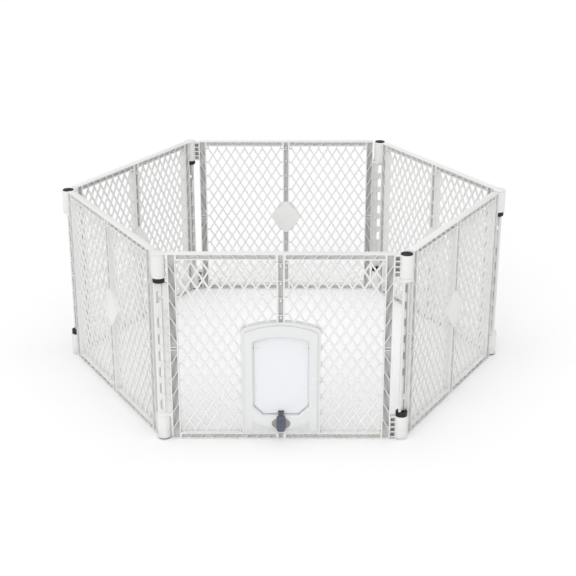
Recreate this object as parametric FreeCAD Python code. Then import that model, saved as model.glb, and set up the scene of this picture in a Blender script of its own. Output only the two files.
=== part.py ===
"""Six-panel folding pet playpen with a swinging flap door in its front panel.

Every panel is the same moulding: a ribbed H-section frame round a diamond lattice. One end carries two
hinge pins, the other end two sleeves that drop over the next panel's pins. Every second panel is turned
over about its long axis, so pins hang down at three corners and stand up at the other three.

Millimetres, +Z up. The origin is on the floor at the middle of the ring; the door panel faces -Y.
"""
import FreeCAD
import Part
import math
import os
from FreeCAD import Placement, Rotation, Vector

# ---- overall sizes -------------------------------------------------------------------------------
hinge_pitch = 795.0            # between the two hinge axes of a panel
pen_height = 660.0
panel_count = 6

# ---- panel frame ---------------------------------------------------------------------------------
panel_thickness = 26.0
stile_width = 28.0
centre_stile_width = 27.0
rail_height = 21.0
flange_wall = 3.6              # walls round the ribbed channels
centre_flange_wall = 6.0
core_thickness = 6.0           # mid web of the frame, and the lattice
rib_thickness = 2.2
mid_rib_spacing = 9.0          # the two level ribs at mid height of a stile
boss_radius = 4.0              # round bosses along the centre stile
boss_drop = 7.5                # boss centre below its cross rib
male_offset = 28.5             # stile edge to the pin axis
female_offset = 38.0           # stile edge to the sleeve axis

# ---- lattice -------------------------------------------------------------------------------------
cells_across = 8               # diamonds across each half of a panel
cells_up = 10
strand_width = 5.4
side_stub = 10.0               # lattice edge to stile
end_stub = 12.5                # lattice edge to rail

# ---- blank diamond plate of the plain panels ------------------------------------------------------
plate_half_width = 61.5
plate_half_height = 71.0
plate_bulge = 4.0              # how far its edges bow outwards
plate_thickness = 27.0

# ---- hinges --------------------------------------------------------------------------------------
sleeve_outer_radius = 22.5
sleeve_wall = 2.5
sleeve_height = 78.0
end_plate = 4.0                # plate that a pin stands on; a rubber tip is as tall at the outer end
face_gap = 0.5                 # between a sleeve and what it turns against
pin_clearance = 0.5            # radial, between pin and sleeve bore
pin_wall = 3.5
ledge_thickness = 10.0
inner_tip_height = 17.0        # rubber tip beyond the sleeve on the inner side
tip_clearance = 0.25           # radial, rubber tip inside the bore
tip_plug_depth = 14.0          # part of a tip that is pressed into its pin
tip_edge = 1.2
knuckle_thickness = 20.0
knuckle_floor = 4.0            # closed back of the slotted knuckle
slot_count = 4
slot_height = 13.8
slot_rib = 4.6
slot_end_wall = 2.5
sleeve_edge = 0.8

# ---- lattice strip between the two pins ------------------------------------------------------------
rod_radius = 4.5               # upright at the outer edge of the strip
rod_beyond_axis = 14.5
window_inner = 4.0             # window edge on the stile side of the axis
window_outer = 9.0             # window edge beyond the axis
window_height = 38.0
strip_flange = 4.0
strip_depth = 18.0             # across the flange and zigzag ribs
strip_gap = 2.0                # strip below the rubber tip
strip_head = 30.0              # closed top of the strip
strip_window_gap = 6.0         # least solid length at the ends of the row of windows
half_diamond_height = 40.0     # first window, under the head
half_diamond_point = 12.0      # its point, on the stile side of the axis
half_diamond_edge = 5.0        # flat part of its outer edge

# ---- door ----------------------------------------------------------------------------------------
surround_width = 263.0
surround_shoulder = 398.0      # height of the arch ends above the floor
surround_rise = 26.0
surround_corner = 14.0
surround_depth = 34.0
surround_lap_depth = 24.0      # over the outer band
band_width = 11.0
clamp_width = 14.0             # rim of the panel that the two halves clamp
spigot_clearance = 0.4
opening_width = 185.0
opening_sill = 88.0
opening_shoulder = 354.0
opening_rise = 16.0
opening_chamfer = 33.0
opening_corner = 8.0
opening_lip = 4.5              # bevel round the opening's outer edge
flap_clearance = 1.5
flap_thickness = 5.0
flap_rim_thickness = 7.0
flap_rim_width = 6.0
pivot_height = 328.0
pivot_radius = 3.0
pivot_length = 22.0
pivot_clearance = 0.25
pivot_boss_radius = 5.2
pivot_boss_length = 18.0
pivot_engagement = 7.0         # pin length inside the surround
screw_shank_radius = 1.8
screw_head_radius = 4.0
screw_head_height = 2.4
screw_length = 24.0
screw_inset = 10.0             # screw line outside the opening
screw_heights = (56.0, 200.0, 330.0)
screw_arch_x = 52.0
screw_sink = 0.6               # head below the surround's face
cross_half_width = 0.5         # cross recess in a screw head
cross_half_length = 2.2
cross_floor = 1.0

# ---- door latch ----------------------------------------------------------------------------------
latch_travel = 14.0
knob_width = 31.0
knob_length = 54.0
knob_top_drop = 1.0            # top of the resting knob below the sill
knob_depth = 12.0
knob_edge = 3.0
knob_gap = 0.3                 # knob to guide disc
tongue_width = 18.0
tongue_top = 98.0
tongue_sill_gap = 1.5
tongue_flap_gap = 0.8
tongue_depth = 20.0
tongue_neck = 4.5              # thickness of the strap from the knob up to its tongue
guide_half_width = 31.0
guide_half_height = 20.5
guide_thickness = 2.5
carrier_width = 12.0
carrier_height = 18.0
carrier_clearance = 0.4
latch_screw_radius = 2.0
latch_screw_head_radius = 3.8
latch_screw_head_height = 2.6
notch_clearance = 2.0          # flap notch round the tongues
recess_depth = 2.0
recess_low = 24.0
recess_high = 67.0
recess_half_width = 95.0
recess_sag = 28.0

# ---- worked out from the values above ----------------------------------------------------------------
body_width = hinge_pitch - male_offset - female_offset
half_width = (body_width - 2 * stile_width - centre_stile_width) / 2
body_centre = male_offset + body_width / 2
half_cell = (half_width - 2 * side_stub) / cells_across / 2
half_rise = (pen_height - 2 * rail_height - 2 * end_stub) / cells_up / 2
slope = half_rise / half_cell
node_rows = [rail_height + end_stub + 2 * half_rise * row for row in range(cells_up + 1)]
ring_radius = hinge_pitch / (2 * math.sin(math.pi / panel_count))
bore_radius = sleeve_outer_radius - sleeve_wall
pin_radius = bore_radius - pin_clearance
tip_radius = bore_radius - tip_clearance
sleeve_low = end_plate + face_gap
sleeve_high = sleeve_low + sleeve_height
ledge_low = sleeve_high + face_gap
surround_face = surround_depth / 2
knob_back = surround_face + guide_thickness + knob_gap
latch_height = opening_sill - knob_top_drop - knob_length / 2      # middle of the knob at rest

panel_names = (
    "front_panel", "right_front_panel", "right_back_panel", "back_panel", "left_back_panel", "left_front_panel",
)
nodes = {}


# ---- small helpers ---------------------------------------------------------------------------------
def closed_wire(points, y):
    """Straight-sided closed wire in a plane of constant y, from (x, z) points."""
    corners = [Vector(x, y, z) for x, z in points]
    return Part.makePolygon(corners + corners[:1])


def prism(outline, y_low, y_high, holes=()):
    """Extrude an outline of (x, z) points, with holes, from y_low to y_high."""
    wires = [closed_wire(outline, y_low)] + [closed_wire(hole, y_low) for hole in holes]
    face = Part.makeFace(wires, "Part::FaceMakerBullseye")
    return face.extrude(Vector(0, y_high - y_low, 0))


def box(x_low, x_high, y_low, y_high, z_low, z_high):
    return Part.makeBox(x_high - x_low, y_high - y_low, z_high - z_low, Vector(x_low, y_low, z_low))


def upright(radius, x, z_low, z_high):
    return Part.makeCylinder(radius, z_high - z_low, Vector(x, 0, z_low), Vector(0, 0, 1))


def crosswise(radius, x, z, y_low, y_high):
    return Part.makeCylinder(radius, y_high - y_low, Vector(x, y_low, z), Vector(0, 1, 0))


def arched_face(half, low, shoulder, rise, y, chamfer=0.0):
    """Plate outline with an arched top, in a plane of constant y, centred on the panel's middle."""
    left = body_centre - half
    right = body_centre + half
    if chamfer > 0:
        base = [(left, low + chamfer), (left + chamfer, low), (right - chamfer, low), (right, low + chamfer)]
    else:
        base = [(left, low), (right, low)]
    corners = [Vector(left, y, shoulder)] + [Vector(x, y, z) for x, z in base] + [Vector(right, y, shoulder)]
    edges = [Part.makeLine(a, b) for a, b in zip(corners, corners[1:])]
    crown = Part.Arc(corners[-1], Vector(body_centre, y, shoulder + rise), corners[0])
    return Part.Face(Part.Wire(edges + [crown.toShape()]))


def arched_block(half, low, shoulder, rise, corner, y_low, y_high, chamfer=0.0):
    """Extrude an arched outline from y_low to y_high and round its two shoulders."""
    block = arched_face(half, low, shoulder, rise, y_low, chamfer).extrude(Vector(0, y_high - y_low, 0))
    shoulders = [edge for edge in block.Edges if is_shoulder(edge, half, shoulder)]
    return block.makeFillet(corner, shoulders)


def is_shoulder(edge, half, shoulder):
    ends = [vertex.Point for vertex in edge.Vertexes]
    if len(ends) != 2 or abs(ends[0].y - ends[1].y) < 0.1:
        return False
    return abs(abs(ends[0].x - body_centre) - half) < 0.01 and abs(ends[0].z - shoulder) < 0.01


def mirrored(shape):
    """The same piece on the other face of the panel."""
    return shape.mirror(Vector(0, 0, 0), Vector(0, 1, 0))


# ---- frame -----------------------------------------------------------------------------------------
def channel_pockets(start, end, low, high, ribs):
    """Pockets along a channel, as (across, along) outlines between slanting ribs.

    Each rib is (place along the channel at its middle, slope along/across)."""
    middle = (low + high) / 2
    outlines = []
    edge = [(low, start), (high, start)]
    for place, slant in sorted(ribs):
        half = rib_thickness / 2 * math.hypot(1, slant)
        at_low = place + slant * (low - middle)
        at_high = place + slant * (high - middle)
        outlines.append(edge + [(high, at_high - half), (low, at_low - half)])
        edge = [(low, at_low + half), (high, at_high + half)]
    outlines.append(edge + [(high, end), (low, end)])
    return outlines


def stile_pockets(left):
    """Slanting ribs of a stile carry on the lattice strands and point at the panel's middle."""
    low = male_offset + flange_wall if left else male_offset + body_width - stile_width + flange_wall
    high = low + stile_width - 2 * flange_wall
    shift = slope * (side_stub + stile_width / 2)
    lean = slope if left else -slope
    middle = pen_height / 2
    reach = shift / 2 + flange_wall
    ribs = [(middle - mid_rib_spacing / 2, 0.0), (middle + mid_rib_spacing / 2, 0.0)]
    ribs += [(row - shift, lean) for row in node_rows if row <= middle + 1 and row - shift > reach]
    ribs += [(row + shift, -lean) for row in node_rows if row >= middle - 1 and row + shift < pen_height - reach]
    return channel_pockets(flange_wall, pen_height - flange_wall, low, high, ribs)


def rail_pockets(start, top, left):
    """Slanting ribs of half a rail, at the lattice's spacing."""
    low = pen_height - rail_height + flange_wall if top else flange_wall
    high = low + rail_height - 2 * flange_wall
    shift = (end_stub + rail_height / 2) / slope
    lean = 1 / slope if left != top else -1 / slope
    columns = [start + side_stub + 2 * half_cell * column for column in range(cells_across + 1)]
    places = [column - shift if left else column + shift for column in columns]
    reach = shift / 2 + rib_thickness
    ribs = [(place, lean) for place in places if start + reach < place < start + half_width - reach]
    turned = channel_pockets(start + flange_wall, start + half_width - flange_wall, low, high, ribs)
    return [[(along, across) for across, along in outline] for outline in turned]


def centre_stile_cutters(y_low, y_high):
    """Channel of the centre stile with a level rib and a round boss at each lattice row."""
    half = centre_stile_width / 2 - centre_flange_wall
    ribs = [(row, 0.0) for row in node_rows]
    outlines = channel_pockets(flange_wall, pen_height - flange_wall, body_centre - half, body_centre + half, ribs)
    cutters = [prism(outline, y_low, y_high) for outline in outlines]
    bosses = [crosswise(boss_radius, body_centre, row - boss_drop, y_low, y_high) for row in node_rows]
    return [Part.makeCompound(cutters).cut(Part.makeCompound(bosses))]


def half_starts():
    return (male_offset + stile_width, body_centre + centre_stile_width / 2)


def frame_blank():
    left = male_offset
    right = male_offset + body_width
    outline = [(left, 0), (right, 0), (right, pen_height), (left, pen_height)]
    low = rail_height
    high = pen_height - rail_height
    openings = [[(x, low), (x + half_width, low), (x + half_width, high), (x, high)] for x in half_starts()]
    return prism(outline, -panel_thickness / 2, panel_thickness / 2, openings)


def ribbed_frame():
    """H-section frame: a full blank with its ribbed channels cut into both faces."""
    outlines = stile_pockets(True) + stile_pockets(False)
    for left, start in zip((True, False), half_starts()):
        outlines += rail_pockets(start, True, left) + rail_pockets(start, False, left)
    web = core_thickness / 2
    depth = panel_thickness / 2 + 1
    cutters = [prism(outline, web, depth) for outline in outlines]
    cutters += [prism(outline, -depth, -web) for outline in outlines]
    cutters += centre_stile_cutters(web, depth) + centre_stile_cutters(-depth, -web)
    return frame_blank().cut(Part.makeCompound(cutters))


# ---- lattice ---------------------------------------------------------------------------------------
def hole_share():
    """Size of a diamond hole as a share of the diamond between strand centre lines."""
    return 1 - strand_width / 2 * math.hypot(half_cell, half_rise) / (half_cell * half_rise)


def diamond(x, z):
    across = half_cell * hole_share()
    up = half_rise * hole_share()
    return [(x - across, z), (x, z - up), (x + across, z), (x, z + up)]


def side_hole(wall, inward, z):
    """Half diamond that is open to a stile; inward is +1 or -1."""
    reach = half_rise - strand_width / 2
    node = wall + inward * side_stub
    shoulder = node + inward * half_cell * (hole_share() - reach / half_rise)
    tip = node + inward * half_cell * hole_share()
    return [(wall, z - reach), (shoulder, z - reach), (tip, z), (shoulder, z + reach), (wall, z + reach)]


def end_hole(x, wall, inward):
    """Half diamond that is open to a rail."""
    reach = half_cell - strand_width / 2
    node = wall + inward * end_stub
    shoulder = node + inward * half_rise * (hole_share() - reach / half_cell)
    tip = node + inward * half_rise * hole_share()
    return [(x - reach, wall), (x + reach, wall), (x + reach, shoulder), (x, tip), (x - reach, shoulder)]


def corner_hole(x, z, right, up):
    """Small window in a corner of the lattice, between its two stubs."""
    far_x = x + right * (side_stub - strand_width / 2)
    far_z = z + up * (end_stub - strand_width / 2)
    return [(x, z), (far_x, z), (far_x, far_z), (x, far_z)]


def lattice_holes(start):
    """Every window of one half of the lattice."""
    end = start + half_width
    low = rail_height
    high = pen_height - rail_height
    first_x = start + side_stub
    first_z = low + end_stub
    holes = []
    for column in range(cells_across):
        x = first_x + (2 * column + 1) * half_cell
        holes += [diamond(x, first_z + 2 * row * half_rise) for row in range(1, cells_up)]
        holes += [end_hole(x, low, 1), end_hole(x, high, -1)]
    for row in range(cells_up):
        z = first_z + (2 * row + 1) * half_rise
        holes += [diamond(first_x + 2 * column * half_cell, z) for column in range(1, cells_across)]
        holes += [side_hole(start, 1, z), side_hole(end, -1, z)]
    holes += [corner_hole(start, low, 1, 1), corner_hole(end, low, -1, 1)]
    holes += [corner_hole(start, high, 1, -1), corner_hole(end, high, -1, -1)]
    return holes


def lattice_core():
    """Mid web of the whole panel with the lattice windows in it."""
    left = male_offset
    right = male_offset + body_width
    outline = [(left, 0), (right, 0), (right, pen_height), (left, pen_height)]
    holes = [hole for start in half_starts() for hole in lattice_holes(start)]
    return prism(outline, -core_thickness / 2, core_thickness / 2, holes)


def diamond_plate():
    """Smooth blank plate at the middle of a plain panel, with slightly bowed edges."""
    y = -plate_thickness / 2
    middle = pen_height / 2
    tips = [(plate_half_width, 0), (0, plate_half_height), (-plate_half_width, 0), (0, -plate_half_height)]
    edges = []
    for (x_a, z_a), (x_b, z_b) in zip(tips, tips[1:] + tips[:1]):
        length = math.hypot(plate_half_width, plate_half_height)
        mid_x = (x_a + x_b) / 2 * (1 + 2 * plate_bulge / length)
        mid_z = (z_a + z_b) / 2 * (1 + 2 * plate_bulge / length)
        points = [Vector(body_centre + x, y, middle + z) for x, z in ((x_a, z_a), (mid_x, mid_z), (x_b, z_b))]
        edges.append(Part.Arc(*points).toShape())
    return Part.Face(Part.Wire(edges)).extrude(Vector(0, plate_thickness, 0))


def plain_panel(frame, core):
    return frame.fuse([core, diamond_plate()]).removeSplitter()


# ---- hinge ends ------------------------------------------------------------------------------------
def hinge_plate(z_low, z_high):
    """Round plate over a hinge axis with its arm to the stile."""
    arm = box(0, male_offset, -panel_thickness / 2, panel_thickness / 2, z_low, z_high)
    return upright(sleeve_outer_radius, 0, z_low, z_high).fuse(arm).removeSplitter()


def hollow_pin(z_low, z_high):
    return upright(pin_radius, 0, z_low, z_high).cut(upright(pin_radius - pin_wall, 0, z_low, z_high))


def strip_rows(low, high):
    """Middles of the windows in the strip: halfway between lattice rows."""
    rows = [row + half_rise for row in node_rows]
    half = window_height / 2
    return [row for row in rows if row - half > low + strip_window_gap and row + half < high]


def rounded_window(z):
    """Upright window with round ends, through the strip."""
    middle = (window_inner - window_outer) / 2
    radius = (window_inner + window_outer) / 2
    straight = window_height / 2 - radius
    reach = strip_depth
    slot = box(middle - radius, middle + radius, -reach, reach, z - straight, z + straight)
    ends = [crosswise(radius, middle, z + offset, -reach, reach) for offset in (-straight, straight)]
    return slot.fuse(ends)


def half_diamond_window(top):
    """First window under the strip's head, a half diamond."""
    low = top - half_diamond_height
    flat = -window_outer + half_diamond_edge
    outline = [(-window_outer, top), (flat, top), (half_diamond_point, (top + low) / 2)]
    outline += [(flat, low), (-window_outer, low)]
    return prism(outline, -strip_depth, strip_depth)


def zigzag_ribs(z_low, z_high):
    """Ribs across the strip beside its windows, one slanting pair at each lattice row."""
    near = window_inner + strip_flange
    far = male_offset
    half = strip_depth / 2
    lean = (far - near) * slope / 2
    ribs = []
    for row in node_rows:
        if row - lean - strand_width < z_low or row + lean + strand_width > z_high:
            continue
        for side in (-1, 1):
            start = row + side * 2
            end = row + side * (lean + 2)
            drop = side * strand_width / 2
            outline = [(near - 1, start), (far, end), (far, end + drop), (near - 1, start + drop)]
            ribs.append(prism(outline, -half, half))
    return ribs


def pin_end():
    """Pins hang from the end plate and from the ledge above the lower sleeve; the strip joins them."""
    strip_low = ledge_low + ledge_thickness
    strip_high = pen_height - sleeve_high - face_gap - inner_tip_height - strip_gap
    window_top = strip_high - strip_head
    core = core_thickness / 2
    plate = box(-rod_beyond_axis, male_offset, -core, core, strip_low, strip_high)
    flange = box(window_inner, window_inner + strip_flange, -strip_depth / 2, strip_depth / 2, strip_low, strip_high)
    rod = upright(rod_radius, -rod_beyond_axis, strip_low, strip_high)
    window_limit = window_top - half_diamond_height - strip_window_gap
    windows = [rounded_window(row) for row in strip_rows(strip_low, window_limit)]
    windows.append(half_diamond_window(window_top))
    strip = plate.fuse([flange] + zigzag_ribs(strip_low, window_limit)).cut(Part.makeCompound(windows))
    pieces = [
        rod,
        hinge_plate(pen_height - end_plate, pen_height),
        hollow_pin(pen_height - sleeve_high - face_gap, pen_height - end_plate),
        hinge_plate(ledge_low, ledge_low + ledge_thickness),
        hollow_pin(end_plate, ledge_low),
    ]
    upper = pieces[1].fuse(pieces[2]).removeSplitter()
    lower = strip.fuse([rod, pieces[3], pieces[4]]).removeSplitter()
    return Part.makeCompound([upper, lower])


def rubber_tip(z_pin_end, height, upward):
    """Rubber end of a pin: a round pad outside and a plug pressed into the pin."""
    pad = upright(tip_radius, 0, 0, height)
    rims = [edge for edge in pad.Edges if edge.BoundBox.ZLength < 0.01 and edge.BoundBox.ZMin > height - 0.01]
    pad = pad.makeFillet(tip_edge, rims)
    plug = upright(pin_radius - pin_wall, 0, -tip_plug_depth, 0)
    tip = pad.fuse(plug).removeSplitter()
    if not upward:
        tip.rotate(Vector(0, 0, 0), Vector(1, 0, 0), 180)
    tip.translate(Vector(0, 0, z_pin_end))
    return tip


def slotted_knuckle(z_low):
    """One sleeve with the slotted block that joins it to the stile; the slots open to -y."""
    z_high = z_low + sleeve_height
    axis = hinge_pitch
    edge = axis - female_offset
    half = knuckle_thickness / 2
    block = box(edge, axis, -half, half, z_low, z_high)
    barrel = upright(sleeve_outer_radius, axis, z_low, z_high)
    rims = [rim for rim in barrel.Edges if rim.BoundBox.ZLength < 0.01]
    barrel = barrel.makeChamfer(sleeve_edge, rims)
    pitch = slot_height + slot_rib
    first = z_low + (sleeve_height - slot_count * pitch + slot_rib) / 2
    slot_end = axis - math.sqrt(sleeve_outer_radius ** 2 - half ** 2)
    slots = []
    for index in range(slot_count):
        z = first + index * pitch
        slots.append(box(edge + slot_end_wall, slot_end, -half - 1, half - knuckle_floor, z, z + slot_height))
    body = block.cut(Part.makeCompound(slots)).fuse(barrel)
    return body.cut(upright(bore_radius, axis, z_low - 1, z_high + 1)).removeSplitter()


def sleeve_end():
    upper = pen_height - sleeve_high
    return Part.makeCompound([slotted_knuckle(sleeve_low), slotted_knuckle(upper)])


# ---- door panel ------------------------------------------------------------------------------------
def surround_block(inset, y_low, y_high):
    """Arched block of the surround's outline, inset all round except at the rail."""
    half = surround_width / 2 - inset
    low = rail_height + inset
    shoulder = surround_shoulder - inset
    return arched_block(half, low, shoulder, surround_rise, surround_corner - inset / 2, y_low, y_high)


def opening_block(inset, y_low, y_high):
    half = opening_width / 2 - inset
    chamfer = opening_chamfer - inset * (2 - math.sqrt(2))
    low = opening_sill + inset
    shoulder = opening_shoulder - inset
    return arched_block(half, low, shoulder, opening_rise, opening_corner, y_low, y_high, chamfer)


def door_panel(frame, core):
    """Front panel: lattice and centre stile end at a clamped rim round the doorway."""
    reach = panel_thickness
    whole = frame.fuse(core)
    cleared = whole.cut(surround_block(0, -reach, reach))
    web = core_thickness / 2
    rim = surround_block(0, -web, web).cut(surround_block(clamp_width, -reach, reach))
    return cleared.fuse(rim).removeSplitter()


def opening_edges(body):
    """Edges of the opening in the surround's outer face."""
    half = opening_width / 2 + 0.1
    found = []
    for edge in body.Edges:
        bounds = edge.BoundBox
        on_face = bounds.YMax < -surround_face + 0.01
        within = bounds.XMin > body_centre - half and bounds.XMax < body_centre + half
        if on_face and within and bounds.ZMin > opening_sill - 0.1:
            found.append(edge)
    return found


def carrier_slot(reach):
    """Upright slot in the sill for the latch carrier and its travel."""
    half = carrier_width / 2 + carrier_clearance
    low = latch_height - carrier_height / 2 - carrier_clearance
    high = latch_height + carrier_height / 2 + latch_travel + carrier_clearance
    return box(body_centre - half, body_centre + half, -reach, reach, low, high)


def screw_places():
    side = opening_width / 2 + screw_inset
    places = [(body_centre + sign * side, z) for sign in (-1, 1) for z in screw_heights]
    crown = (opening_shoulder + opening_rise + surround_shoulder + surround_rise - clamp_width) / 2
    return places + [(body_centre + sign * screw_arch_x, crown) for sign in (-1, 1)]


def sill_recess():
    """Shallow panel in the sill's face with a sagging upper edge."""
    left = body_centre - recess_half_width
    right = body_centre + recess_half_width
    y = -surround_face - 1
    corners = [Vector(right, y, recess_high), Vector(right, y, recess_low)]
    corners += [Vector(left, y, recess_low), Vector(left, y, recess_high)]
    edges = [Part.makeLine(a, b) for a, b in zip(corners, corners[1:])]
    sag = Part.Arc(corners[-1], Vector(body_centre, y, recess_high - recess_sag), corners[0])
    face = Part.Face(Part.Wire(edges + [sag.toShape()]))
    return face.extrude(Vector(0, 1 + recess_depth, 0))


def guide_disc():
    """Raised oval round the latch slot."""
    middle = Vector(body_centre, -surround_face - guide_thickness, latch_height)
    ellipse = Part.Ellipse(middle, guide_half_width, guide_half_height)
    ellipse.rotate(Placement(middle, Rotation(Vector(1, 0, 0), 90), Vector(0, 0, 0)))
    face = Part.Face(Part.Wire(ellipse.toShape()))
    return face.extrude(Vector(0, guide_thickness + recess_depth, 0))


def surround_half():
    """Outer half of the door surround; it laps over the panel's rim and its spigot enters it."""
    lap_face = surround_lap_depth / 2
    web = core_thickness / 2
    reach = surround_depth
    spigot = surround_block(clamp_width + spigot_clearance, -web, 0)
    lap = surround_block(0, -lap_face, -web)
    raised = surround_block(band_width, -surround_face, -lap_face)
    body = lap.fuse([spigot, raised]).cut(opening_block(0, -reach, reach)).removeSplitter()
    body = body.makeChamfer(opening_lip, opening_edges(body))
    body = body.cut(sill_recess())
    lip_edge = opening_sill - opening_lip - 0.5
    oval = guide_disc().common(box(0, hinge_pitch, -reach, reach, 0, lip_edge))
    body = body.fuse(oval).removeSplitter()
    cuts = [carrier_slot(reach)]
    hole = pivot_radius + pivot_clearance
    bore_half = opening_width / 2 + pivot_engagement + 1
    bore_start = Vector(body_centre - bore_half, 0, pivot_height)
    cuts.append(Part.makeCylinder(hole, 2 * bore_half, bore_start, Vector(1, 0, 0)))
    return body.cut(Part.makeCompound(cuts))


def door_surrounds():
    outer = surround_half()
    inner = mirrored(outer)
    shank_holes = [crosswise(screw_shank_radius, x, z, screw_low(), surround_face) for x, z in screw_places()]
    head_seats = [crosswise(screw_head_radius, x, z, screw_seat(), surround_face) for x, z in screw_places()]
    return outer.cut(Part.makeCompound(shank_holes)), inner.cut(Part.makeCompound(shank_holes + head_seats))


def screw_seat():
    return surround_face - screw_head_height - screw_sink


def screw_low():
    return screw_seat() - screw_length


def door_screws():
    screws = []
    for x, z in screw_places():
        shank = crosswise(screw_shank_radius, x, z, screw_low(), screw_seat())
        head = crosswise(screw_head_radius, x, z, screw_seat(), screw_seat() + screw_head_height)
        wide, thin = cross_half_length, cross_half_width
        floor = screw_seat() + cross_floor
        cross = [box(x - thin, x + thin, floor, surround_face, z - wide, z + wide)]
        cross.append(box(x - wide, x + wide, floor, surround_face, z - thin, z + thin))
        screws.append(shank.fuse(head).cut(Part.makeCompound(cross)).removeSplitter())
    return Part.makeCompound(screws)


def tongue_notch():
    """Space that the swinging flap leaves round the tongues of the two knobs."""
    half = tongue_width / 2 + notch_clearance
    reach = surround_depth
    return box(body_centre - half, body_centre + half, -reach, reach, 0, tongue_top + notch_clearance)


def door_flap():
    """Translucent flap: thin sheet, thicker rim, and a boss for each pivot pin."""
    rim_half = flap_rim_thickness / 2
    sheet_half = flap_thickness / 2
    rim = opening_block(flap_clearance, -rim_half, rim_half)
    rim = rim.cut(opening_block(flap_clearance + flap_rim_width, -rim_half - 1, rim_half + 1))
    sheet = opening_block(flap_clearance, -sheet_half, sheet_half)
    flap = sheet.fuse(rim).cut(tongue_notch())
    edge = opening_width / 2 - flap_clearance
    bosses = []
    bores = []
    for sign in (-1, 1):
        start = Vector(body_centre + sign * edge, 0, pivot_height)
        inward = Vector(-sign, 0, 0)
        bosses.append(Part.makeCylinder(pivot_boss_radius, pivot_boss_length, start, inward))
        bores.append(Part.makeCylinder(pivot_radius, pivot_length - pivot_engagement - flap_clearance, start, inward))
    return flap.fuse(bosses).cut(Part.makeCompound(bores)).removeSplitter()


def flap_pivot_pins():
    """Two steel pins pressed into the flap; their outer ends turn in the surround."""
    reach = opening_width / 2 + pivot_engagement
    pins = []
    for sign in (-1, 1):
        start = Vector(body_centre + sign * reach, 0, pivot_height)
        pins.append(Part.makeCylinder(pivot_radius, pivot_length, start, Vector(-sign, 0, 0)))
    return Part.makeCompound(pins)


# ---- latch -----------------------------------------------------------------------------------------
def latch_knob():
    """Sliding grip on the outer face with the tongue that stops the flap when it is raised."""
    radius = knob_width / 2
    straight = knob_length / 2 - radius
    front = -knob_back - knob_depth
    slab = box(body_centre - radius, body_centre + radius, front, -knob_back,
               latch_height - straight, latch_height + straight)
    ends = [crosswise(radius, body_centre, latch_height + z, front, -knob_back) for z in (-straight, straight)]
    grip = slab.fuse(ends).removeSplitter()
    rims = [edge for edge in grip.Edges if edge.BoundBox.YMax < front + 0.01]
    grip = grip.makeFillet(knob_edge, rims)
    tongue_back = -flap_rim_thickness / 2 - tongue_flap_gap
    half = tongue_width / 2
    tongue = box(body_centre - half, body_centre + half, tongue_back - tongue_depth, tongue_back,
                 opening_sill + tongue_sill_gap, tongue_top)
    neck = box(body_centre - half, body_centre + half, -knob_back - tongue_neck, -knob_back, latch_height, tongue_top)
    return grip.fuse([neck, tongue]).removeSplitter()


def latch_carrier():
    """Block that slides in the sill's slot and joins the two knobs."""
    half = carrier_width / 2
    low = latch_height - carrier_height / 2
    block = box(body_centre - half, body_centre + half, -knob_back, knob_back, low, low + carrier_height)
    return block.cut(crosswise(latch_screw_radius, body_centre, latch_height, -knob_back, knob_back))


def latch_screw():
    """Screw from the inner knob through the carrier into the outer knob."""
    head_low = knob_back + knob_depth / 2
    shank = crosswise(latch_screw_radius, body_centre, latch_height, -knob_back - knob_depth / 2, head_low)
    head = crosswise(latch_screw_head_radius, body_centre, latch_height, head_low, head_low + latch_screw_head_height)
    slot = box(body_centre - cross_half_width, body_centre + cross_half_width, head_low + cross_floor,
               head_low + knob_depth, latch_height - latch_screw_head_radius, latch_height + latch_screw_head_radius)
    return shank.fuse(head).cut(slot).removeSplitter()


def latch_knobs():
    outer = latch_knob()
    inner = mirrored(outer)
    far = knob_back + knob_depth
    blind = crosswise(latch_screw_radius, body_centre, latch_height, -knob_back - knob_depth / 2, 0)
    through = crosswise(latch_screw_radius, body_centre, latch_height, 0, far)
    seat = crosswise(latch_screw_head_radius + 0.2, body_centre, latch_height, knob_back + knob_depth / 2, far)
    return outer.cut(blind), inner.cut(through.fuse(seat))


# ---- assembly --------------------------------------------------------------------------------------
def panel_placement(index):
    """Place of a panel in the closed ring: its pin axis on one corner, its sleeve axis on the next."""
    heading = 360.0 / panel_count * index
    corner = math.radians(heading - 90 - 180.0 / panel_count)
    spot = Vector(ring_radius * math.cos(corner), ring_radius * math.sin(corner), 0)
    turn = Rotation(Vector(0, 0, 1), heading)
    if index % 2:
        over = Placement(Vector(0, 0, pen_height), Rotation(Vector(1, 0, 0), 180))
        return Placement(spot, turn).multiply(over)
    return Placement(spot, turn)


def place(name, shape, placement):
    copy = shape.copy()
    copy.Placement = placement.multiply(copy.Placement)
    nodes[name] = copy


def build():
    frame = ribbed_frame()
    core = lattice_core()
    plain = plain_panel(frame, core)
    front = door_panel(frame, core)
    pins = pin_end()
    sleeves = sleeve_end()
    inner_tip = rubber_tip(pen_height - sleeve_high - face_gap, inner_tip_height, False)
    end_tip = rubber_tip(end_plate, end_plate, False)
    for index, name in enumerate(panel_names):
        spot = panel_placement(index)
        place(name, plain if index else front, spot)
        place(name + "_pin_end", pins, spot)
        place(name + "_sleeve_end", sleeves, spot)
        turned_over = index % 2 == 1
        place(name + "_upper_tip", end_tip if turned_over else inner_tip, spot)
        place(name + "_lower_tip", inner_tip if turned_over else end_tip, spot)
    outer, inner = door_surrounds()
    outer_knob, inner_knob = latch_knobs()
    door_pieces = {
        "door_surround_outer": outer,
        "door_surround_inner": inner,
        "door_screws": door_screws(),
        "door_flap": door_flap(),
        "flap_pivot_pins": flap_pivot_pins(),
        "latch_knob_outer": outer_knob,
        "latch_knob_inner": inner_knob,
        "latch_carrier": latch_carrier(),
        "latch_screw": latch_screw(),
    }
    for name, shape in door_pieces.items():
        place(name, shape, panel_placement(0))


build()
os.makedirs("parts", exist_ok=True)
for name, shape in nodes.items():
    shape.exportStep("parts/" + name + ".step")
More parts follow.
